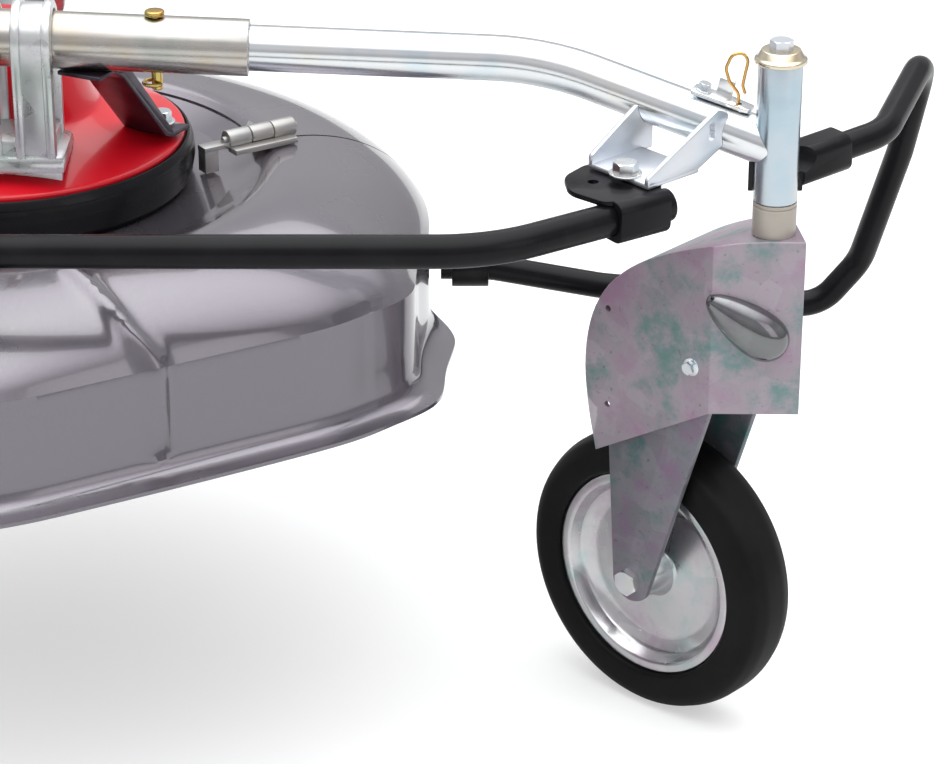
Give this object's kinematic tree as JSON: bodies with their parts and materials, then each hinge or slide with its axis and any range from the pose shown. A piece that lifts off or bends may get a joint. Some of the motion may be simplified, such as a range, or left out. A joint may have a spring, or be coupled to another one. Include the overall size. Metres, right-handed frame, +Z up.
{
  "type": "wheeled brush mower",
  "caption": "Disc-decked brush mower on swivelling wheels, with telescoping arms, tubular guards, lifting rear doors and swinging knives.",
  "frame": {"origin": "on the ground, centre of the bounding box, straight under the spindle axis", "axes": "+Z up; +Y to the drive coupling and rear doors; -Y to the nose of the deck; X along the arms"},
  "size_m": [1.4414, 0.7248, 0.5787],
  "materials": {
    "deck_paint": "gloss",
    "red_paint": "gloss",
    "black_paint": "satin",
    "fork_paint": "satin",
    "zinc": "bright zinc plate",
    "bare_steel": "machined",
    "cast": "as cast",
    "pin_gold": "yellow zinc plate",
    "ring_rubber": "matt",
    "tyre_rubber": "matt"
  },
  "bodies": {
    "deck": {"deck_shell": "deck_paint", "hub_cover": "red_paint", "hub_ring": "ring_rubber", "gear_case": "cast", "spindle_bearing": "bare_steel", "nose_bracket": "black_paint", "guard_sleeve": "black_paint", "stand_socket": "black_paint", "saddle_left": "zinc", "saddle_right": "zinc", "sleeve_left": "zinc", "sleeve_right": "zinc", "brace_left": "zinc", "brace_right": "zinc", "brace_bolt_left": "zinc", "brace_bolt_right": "zinc", "lynch_pin_left": "pin_gold", "lynch_pin_right": "pin_gold", "guide_eye_left": "black_paint", "guide_eye_right": "black_paint", "hinge_leaf_left": "zinc", "hinge_leaf_right": "zinc"},
    "spindle": {"spindle": "bare_steel", "blade_carrier": "bare_steel", "spindle_nut": "bare_steel"},
    "input": {"input_shaft": "bare_steel"},
    "knife_one": {"knife_one": "bare_steel"},
    "knife_two": {"knife_two": "bare_steel"},
    "stand": {"stand_leg": "zinc"},
    "door_left": {"rear_door_left": "deck_paint"},
    "arm_left": {"arm_tube_left": "zinc", "arm_bracket_left": "zinc", "front_guard_left": "black_paint", "loop_guard_left": "black_paint", "guard_clamp_left": "black_paint", "loop_clamp_left": "black_paint", "post_tube_left": "zinc"},
    "lock_left": {"lock_plate_left": "zinc", "spring_clip_left": "pin_gold"},
    "swivel_left": {"fork_left": "fork_paint", "stem_cap_left": "zinc", "axle_left": "zinc"},
    "wheel_left": {"tyre_left": "tyre_rubber", "rim_left": "zinc"},
    "door_right": {"rear_door_right": "deck_paint"},
    "arm_right": {"arm_tube_right": "zinc", "arm_bracket_right": "zinc", "front_guard_right": "black_paint", "loop_guard_right": "black_paint", "guard_clamp_right": "black_paint", "loop_clamp_right": "black_paint", "post_tube_right": "zinc"},
    "lock_right": {"lock_plate_right": "zinc", "spring_clip_right": "pin_gold"},
    "swivel_right": {"fork_right": "fork_paint", "stem_cap_right": "zinc", "axle_right": "zinc"},
    "wheel_right": {"tyre_right": "tyre_rubber", "rim_right": "zinc"}
  },
  "joints": [
    {"name": "spindle_turn", "type": "hinge", "parent": "deck", "child": "spindle", "pos_m": [0, 0, 0.44], "axis": [0, 0, 1], "continuous": true},
    {"name": "input_turn", "type": "hinge", "parent": "deck", "child": "input", "pos_m": [0, 0.19, 0.486], "axis": [0, 1, 0], "continuous": true},
    {"name": "knife_one_swing", "type": "hinge", "parent": "spindle", "child": "knife_one", "pos_m": [0.15, 0, 0.3074], "axis": [0, 0, 1], "range_deg": [-60, 60]},
    {"name": "knife_two_swing", "type": "hinge", "parent": "spindle", "child": "knife_two", "pos_m": [-0.15, 0, 0.3074], "axis": [0, 0, 1], "range_deg": [-60, 60]},
    {"name": "door_left_lift", "type": "hinge", "parent": "deck", "child": "door_left", "pos_m": [0.187, 0.0305, 0.424], "axis": [0.8363, 0.5482, 0], "range_deg": [0, 75]},
    {"name": "arm_left_slide", "type": "slide", "parent": "deck", "child": "arm_left", "axis": [0.999, 0, -0.0436], "range_m": [0, 0.025]},
    {"name": "caster_left_swivel", "type": "hinge", "parent": "arm_left", "child": "swivel_left", "pos_m": [0.582, -0.165, 0.423], "axis": [0, 0, 1], "continuous": true},
    {"name": "wheel_left_spin", "type": "hinge", "parent": "swivel_left", "child": "wheel_left", "pos_m": [0.51033, -0.09964, 0.115], "axis": [-0.6739, -0.7389, 0], "continuous": true},
    {"name": "lock_left_turn", "type": "hinge", "parent": "arm_left", "child": "lock_left", "pos_m": [0.52884, -0.14342, 0.52147], "axis": [0.2202, -0.0847, 0.9718], "range_deg": [0, 35]},
    {"name": "door_right_lift", "type": "hinge", "parent": "deck", "child": "door_right", "pos_m": [-0.187, 0.0305, 0.424], "axis": [0.8363, -0.5482, 0], "range_deg": [0, 75]},
    {"name": "arm_right_slide", "type": "slide", "parent": "deck", "child": "arm_right", "axis": [-0.999, 0, -0.0436], "range_m": [0, 0.025]},
    {"name": "caster_right_swivel", "type": "hinge", "parent": "arm_right", "child": "swivel_right", "pos_m": [-0.582, -0.165, 0.423], "axis": [0, 0, 1], "continuous": true},
    {"name": "wheel_right_spin", "type": "hinge", "parent": "swivel_right", "child": "wheel_right", "pos_m": [-0.51033, -0.09964, 0.115], "axis": [-0.6739, 0.7389, 0], "continuous": true},
    {"name": "lock_right_turn", "type": "hinge", "parent": "arm_right", "child": "lock_right", "pos_m": [-0.52884, -0.14342, 0.52147], "axis": [0.2202, 0.0847, -0.9718], "range_deg": [0, 35]},
    {"name": "stand_lift", "type": "slide", "parent": "deck", "child": "stand", "axis": [0, 0, 1], "range_m": [0, 0.15]}
  ],
  "couplings": [
    {"joint": "input_turn", "follows": "spindle_turn", "ratio": 2}
  ]
}
